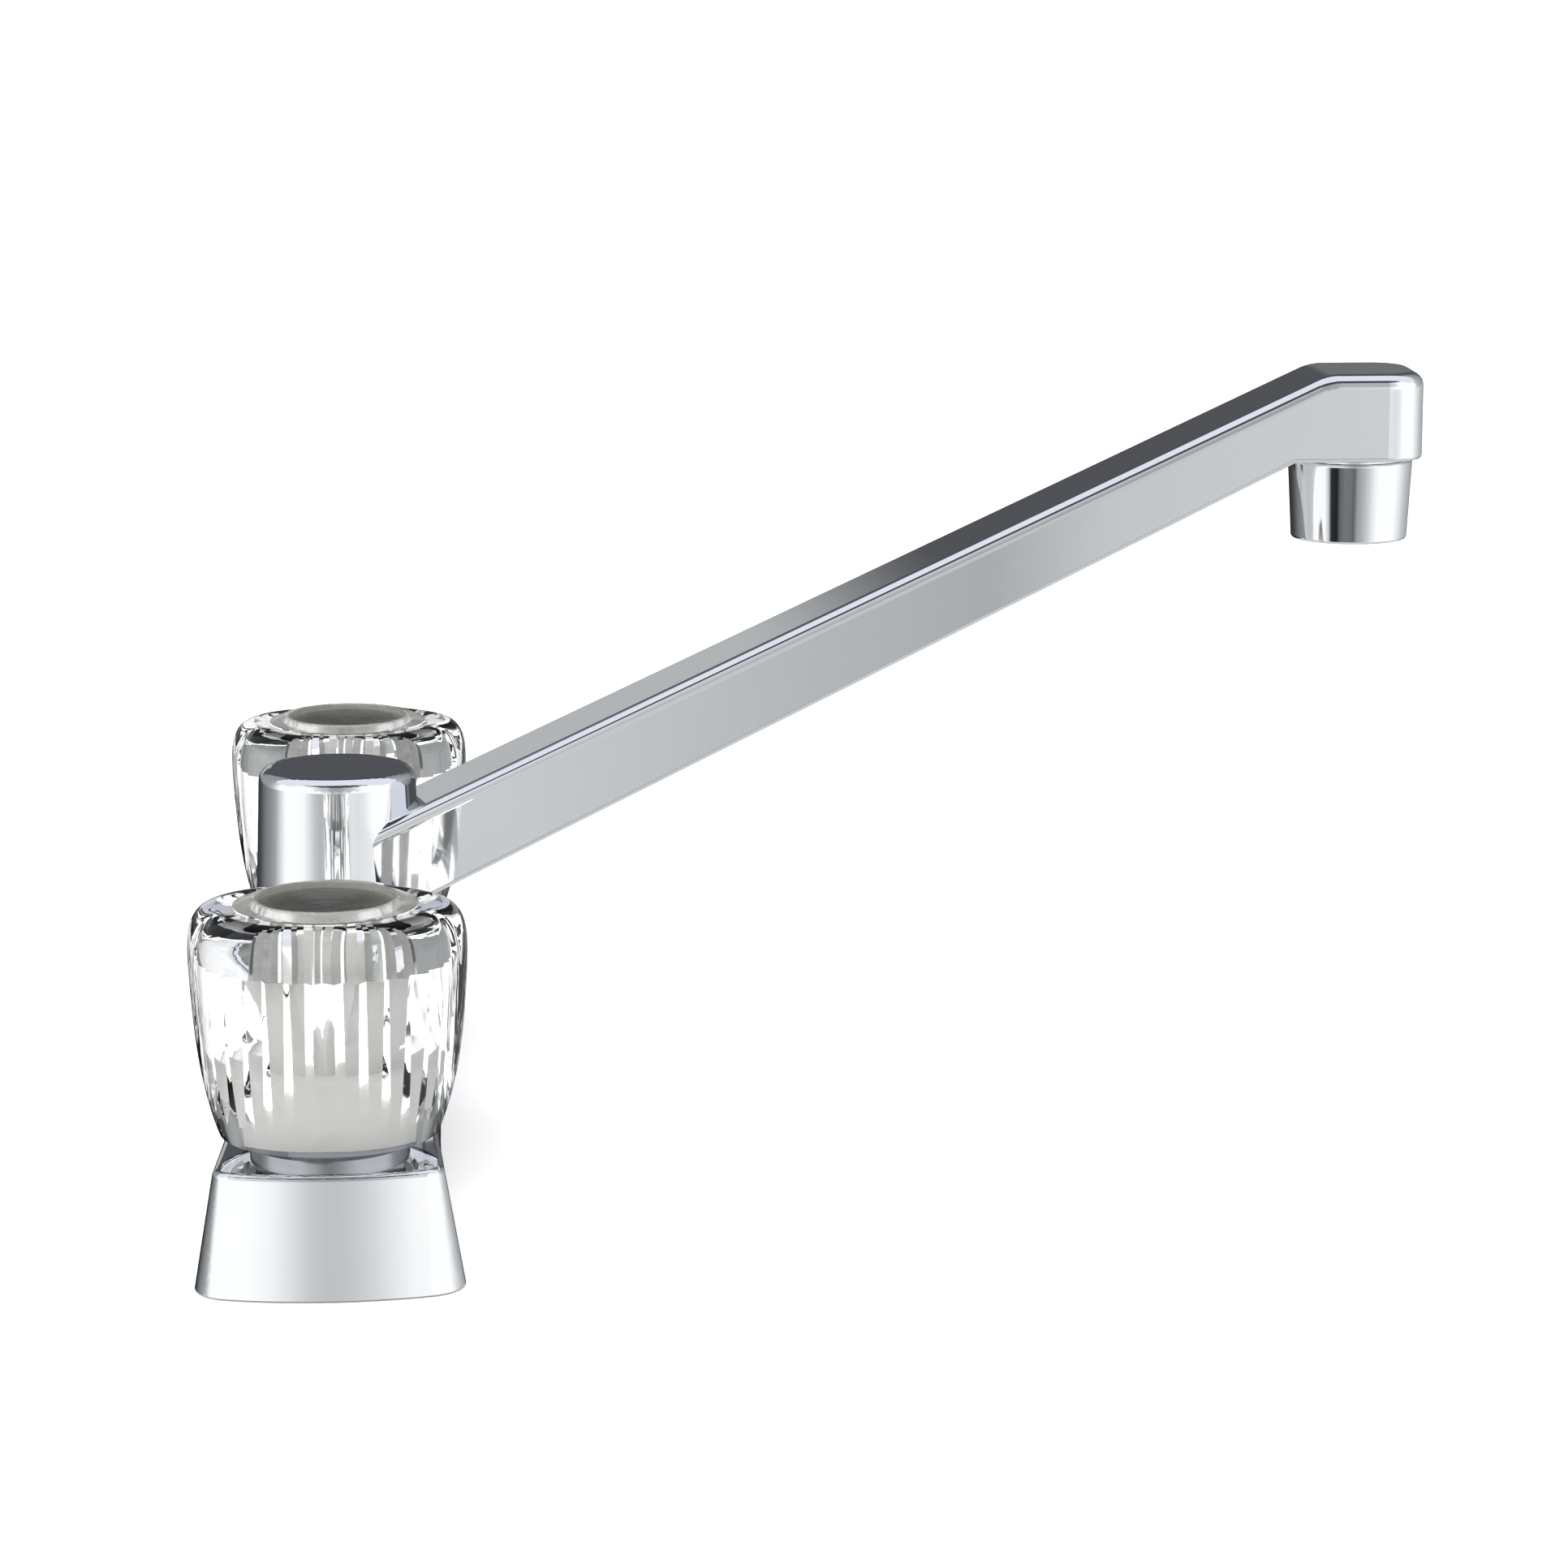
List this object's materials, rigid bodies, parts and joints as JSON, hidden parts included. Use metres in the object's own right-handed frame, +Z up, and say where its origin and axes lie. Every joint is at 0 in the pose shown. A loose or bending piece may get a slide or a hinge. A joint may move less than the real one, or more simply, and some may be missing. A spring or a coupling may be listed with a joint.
{
  "type": "kitchen faucet",
  "caption": "Two-handle deck-mounted kitchen faucet with clear knobs, a waisted base cover and a straight rising swivel spout with a tapered aerator.",
  "frame": {"origin": "centre of the base on the deck plane, under the spout's swivel axis", "axes": "+Z up from the deck, +Y along the base towards the cold handle, +X the way the spout points at rest"},
  "size_m": [0.2704, 0.2598, 0.2286],
  "materials": {
    "chrome": "mirror-polished chrome plate",
    "brass": "machined brass",
    "stainless": "plain stainless steel",
    "brushed_disc": "fine circular brushing",
    "seal_rubber": "black rubber",
    "gasket_rubber": "soft black foam rubber",
    "white_acetal": "moulded",
    "white_plastic": "moulded, slightly milky",
    "grey_plastic": "moulded",
    "clear_acrylic": "clear, polished",
    "ceramic": "lapped"
  },
  "bodies": {
    "faucet_body": {"base_cover": "chrome", "deck_gasket": "gasket_rubber", "valve_body": "brass", "spout_lower_o_ring": "seal_rubber", "spout_upper_o_ring": "seal_rubber", "spout_snap_ring": "white_acetal", "spout_wear_ring": "white_acetal", "hot_seat_seal": "seal_rubber", "hot_fixed_disc": "ceramic", "hot_cartridge_sleeve": "brass", "hot_bonnet_nut": "chrome", "hot_shank_washer": "stainless", "hot_lock_nut": "grey_plastic", "cold_seat_seal": "seal_rubber", "cold_fixed_disc": "ceramic", "cold_cartridge_sleeve": "brass", "cold_bonnet_nut": "chrome", "cold_shank_washer": "stainless", "cold_lock_nut": "grey_plastic"},
    "spout": {"spout": "chrome", "aerator_housing": "chrome", "aerator_screen": "stainless", "aerator_mixer": "white_acetal", "aerator_washer": "seal_rubber"},
    "hot_handle": {"hot_stem": "brass", "hot_turning_disc": "ceramic", "hot_stem_o_ring": "seal_rubber", "hot_knob": "clear_acrylic", "hot_knob_insert": "white_plastic", "hot_knob_screw": "stainless", "hot_index_button": "clear_acrylic", "hot_index_disc": "brushed_disc"},
    "cold_handle": {"cold_stem": "brass", "cold_turning_disc": "ceramic", "cold_stem_o_ring": "seal_rubber", "cold_knob": "clear_acrylic", "cold_knob_insert": "white_plastic", "cold_knob_screw": "stainless", "cold_index_button": "clear_acrylic", "cold_index_disc": "brushed_disc"}
  },
  "joints": [
    {"name": "spout_swivel", "type": "hinge", "parent": "faucet_body", "child": "spout", "pos_m": [0, 0, 0.04], "axis": [0, 0, 1], "continuous": true},
    {"name": "hot_handle_turn", "type": "hinge", "parent": "faucet_body", "child": "hot_handle", "pos_m": [0, -0.1016, 0.04], "axis": [0, 0, 1], "range_deg": [0, 90]},
    {"name": "cold_handle_turn", "type": "hinge", "parent": "faucet_body", "child": "cold_handle", "pos_m": [0, 0.1016, 0.04], "axis": [0, 0, 1], "range_deg": [-90, 0]}
  ]
}
